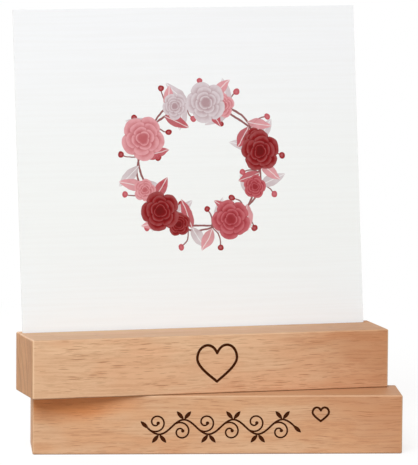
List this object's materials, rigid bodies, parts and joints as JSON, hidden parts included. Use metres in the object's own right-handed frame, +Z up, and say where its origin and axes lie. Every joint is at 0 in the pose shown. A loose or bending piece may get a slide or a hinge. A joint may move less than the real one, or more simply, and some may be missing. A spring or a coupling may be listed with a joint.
{
  "type": "wooden photo block holder",
  "caption": "Solid wood block with a leaning saw kerf that holds a printed card upright, set turned on a plain wood plinth block, with engraved fronts.",
  "frame": {"origin": "centre of the lower block's underside", "axes": "+Z up, +X to the right along the lower block as seen from its engraved front, +Y to the back"},
  "size_m": [0.1578, 0.0724, 0.1778],
  "materials": {
    "beech_wood": "sanded, bare beech with fine ray flecks and burnt engraving",
    "card_stock": "smooth matt card printed on its front"
  },
  "bodies": {
    "plinth": {"lower_block": "beech_wood"},
    "holder": {"upper_block": "beech_wood"},
    "card": {"photo_card": "card_stock"}
  },
  "joints": [
    {"name": "upper_block_turn", "type": "hinge", "parent": "plinth", "child": "holder", "pos_m": [-0.0051, 0.0052, 0.024], "axis": [0, 0, 1], "continuous": true},
    {"name": "card_lift", "type": "slide", "parent": "holder", "child": "card", "axis": [-0.0301, 0.1359, 0.9903], "range_m": [0, 0.018]}
  ]
}
